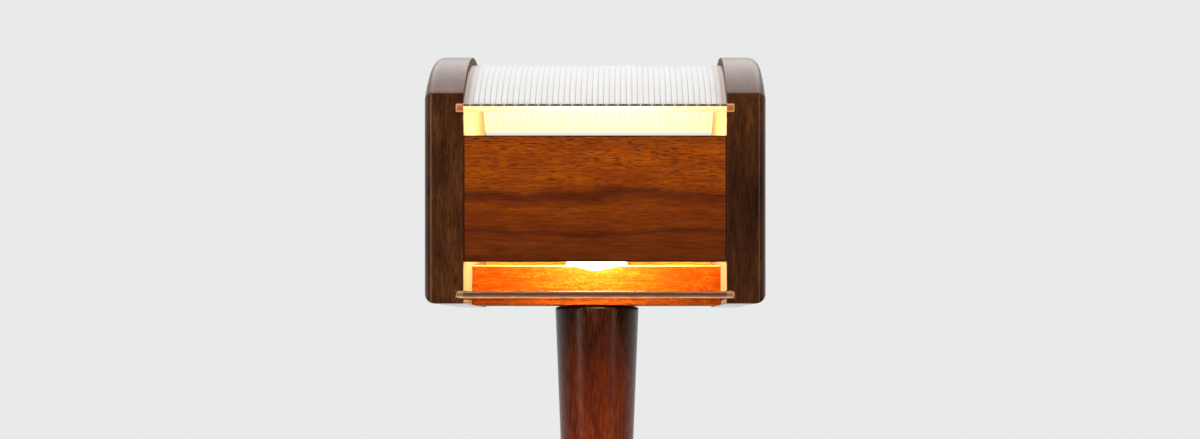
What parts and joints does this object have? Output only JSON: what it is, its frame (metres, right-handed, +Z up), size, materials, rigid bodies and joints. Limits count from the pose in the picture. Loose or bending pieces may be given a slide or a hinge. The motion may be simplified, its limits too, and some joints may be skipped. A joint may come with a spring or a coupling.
{
  "type": "desk lamp",
  "caption": "Walnut desk lamp: box head with an arched, reeded clear shade, sliding clear lower sheets and a globe bulb, on a tapered turned post and a round base.",
  "frame": {"origin": "on the surface that the lamp stands on, under the post's axis", "axes": "+Z up, -Y towards the lamp's front, +X to the right as the front is seen"},
  "size_m": [0.16, 0.16, 0.3353],
  "materials": {
    "walnut": "turned and planed walnut under a satin lacquer",
    "red_walnut": "planed red-brown walnut under a satin lacquer",
    "clear_acrylic": "clear cast acrylic, polished; the shade has fine half-round reeds outside",
    "beech": "plain turned dowel",
    "steel": "zinc plated",
    "brass": "satin brass",
    "phenolic": "black moulded phenolic",
    "opal_glass": "opal white glass, lit",
    "cast_iron": "rough grey casting",
    "hardboard": "pressed hardboard",
    "felt": "dark brown pressed felt",
    "nylon": "brown moulded nylon",
    "brown_wire": "brown insulation",
    "blue_wire": "blue insulation"
  },
  "bodies": {
    "lamp": {"ballast_weight": "cast_iron", "base": "walnut", "base_cover": "hardboard", "base_nut": "steel", "base_washer": "steel", "board_dowel_1": "beech", "board_dowel_2": "beech", "board_dowel_3": "beech", "board_dowel_4": "beech", "bracket_screw_left": "steel", "bracket_screw_right": "steel", "bulb_cap": "brass", "bulb_glass": "opal_glass", "bulb_tip": "steel", "cheek_left": "walnut", "cheek_right": "walnut", "cord_inlet": "nylon", "cover_screw_1": "steel", "cover_screw_2": "steel", "cover_screw_3": "steel", "cover_screw_4": "steel", "felt_ring": "felt", "front_panel": "red_walnut", "head_board": "red_walnut", "head_nut": "steel", "head_washer": "steel", "holder_bracket": "steel", "lamp_tube": "steel", "lampholder_body": "phenolic", "lampholder_contact": "brass", "lampholder_nipple": "steel", "lampholder_nut": "steel", "lampholder_shell": "brass", "neutral_wire": "blue_wire", "panel_dowel_1": "beech", "panel_dowel_2": "beech", "panel_dowel_3": "beech", "panel_dowel_4": "beech", "panel_dowel_5": "beech", "panel_dowel_6": "beech", "panel_dowel_7": "beech", "panel_dowel_8": "beech", "post": "walnut", "rear_panel": "red_walnut", "switch_bezel": "brass", "switch_body": "phenolic", "switch_nut": "steel", "switch_supply_wire": "brown_wire", "switched_wire": "brown_wire"},
    "shade": {"ribbed_shade": "clear_acrylic"},
    "front_sheet": {"front_lower_sheet": "clear_acrylic"},
    "rear_sheet": {"rear_lower_sheet": "clear_acrylic"},
    "button": {"switch_button": "brass"}
  },
  "joints": [
    {"name": "shade_slide", "type": "hinge", "parent": "lamp", "child": "shade", "pos_m": [0, 0, 0.2296], "axis": [1, 0, 0], "range_deg": [0, 70]},
    {"name": "front_sheet_slide", "type": "slide", "parent": "lamp", "child": "front_sheet", "axis": [0, -1, 0], "range_m": [0, 0.03]},
    {"name": "rear_sheet_slide", "type": "slide", "parent": "lamp", "child": "rear_sheet", "axis": [0, 1, 0], "range_m": [0, 0.03]},
    {"name": "switch_press", "type": "slide", "parent": "lamp", "child": "button", "axis": [0, 0, -1], "range_m": [0, 0.002], "stiffness_N_per_m": 500, "springref_m": -0.002}
  ]
}
